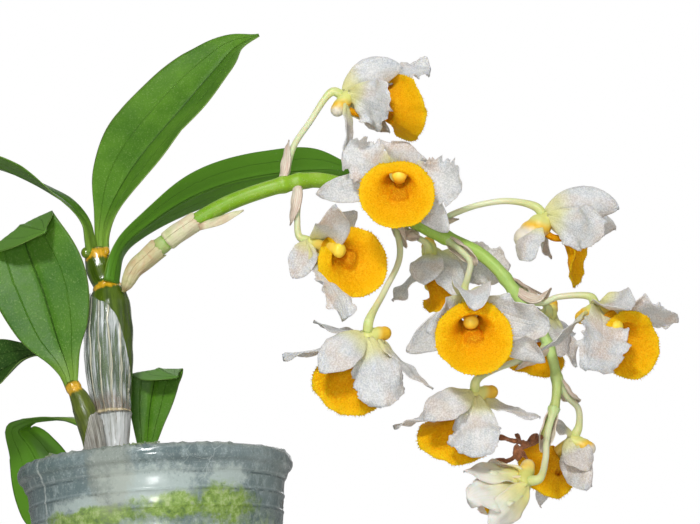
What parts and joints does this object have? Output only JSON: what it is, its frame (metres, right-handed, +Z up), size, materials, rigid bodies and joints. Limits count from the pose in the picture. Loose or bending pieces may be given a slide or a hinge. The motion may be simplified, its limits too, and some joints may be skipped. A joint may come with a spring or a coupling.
{
  "type": "potted dendrobium orchid",
  "caption": "Dendrobium orchid in bloom in a clear pot: ribbed pseudobulbs, strap leaves and a hanging raceme of white blooms with orange lips.",
  "frame": {"origin": "middle of the pot's flat base, on the surface it stands on", "axes": "+Z up along the pot's axis, +X towards the side on which the raceme hangs"},
  "size_m": [0.2838, 0.1029, 0.2709],
  "materials": {
    "pot_plastic": "clear, scratched, stained by water and algae",
    "bark": "damp rough bark with moss",
    "bulb_skin": "glossy waxy olive, ribbed",
    "dry_sheath": "silvery papery skin with pale veins",
    "leaf": "satin leathery green",
    "stem": "satin fleshy green with tan sheaths",
    "petal": "soft white with a fine sparkle",
    "lip": "velvety orange yellow",
    "withered_bud": "dry crumpled brown"
  },
  "bodies": {
    "root": {"pot": "pot_plastic", "bark": "bark", "pseudobulb_main": "bulb_skin", "pseudobulb_small": "bulb_skin", "sheath_silver": "dry_sheath", "leaf_top_left": "leaf", "leaf_top_upright": "leaf", "leaf_arching": "leaf", "leaf_broad": "leaf", "leaf_dark": "leaf", "leaf_hanging": "leaf", "leaf_short": "leaf", "raceme_stem": "stem", "withered_buds": "withered_bud", "bloom_01_tepals": "petal", "bloom_01_lip": "lip", "bloom_02_tepals": "petal", "bloom_02_lip": "lip", "bloom_03_tepals": "petal", "bloom_03_lip": "lip", "bloom_04_tepals": "petal", "bloom_04_lip": "lip", "bloom_05_tepals": "petal", "bloom_05_lip": "lip", "bloom_06_tepals": "petal", "bloom_06_lip": "lip", "bloom_07_tepals": "petal", "bloom_07_lip": "lip", "bloom_08_tepals": "petal", "bloom_08_lip": "lip", "bloom_09_tepals": "petal", "bloom_09_lip": "lip", "bloom_10_tepals": "petal", "bloom_10_lip": "lip", "bloom_11_tepals": "petal", "bloom_11_lip": "lip", "bloom_12_tepals": "petal", "bloom_12_lip": "lip"}
  },
  "joints": []
}
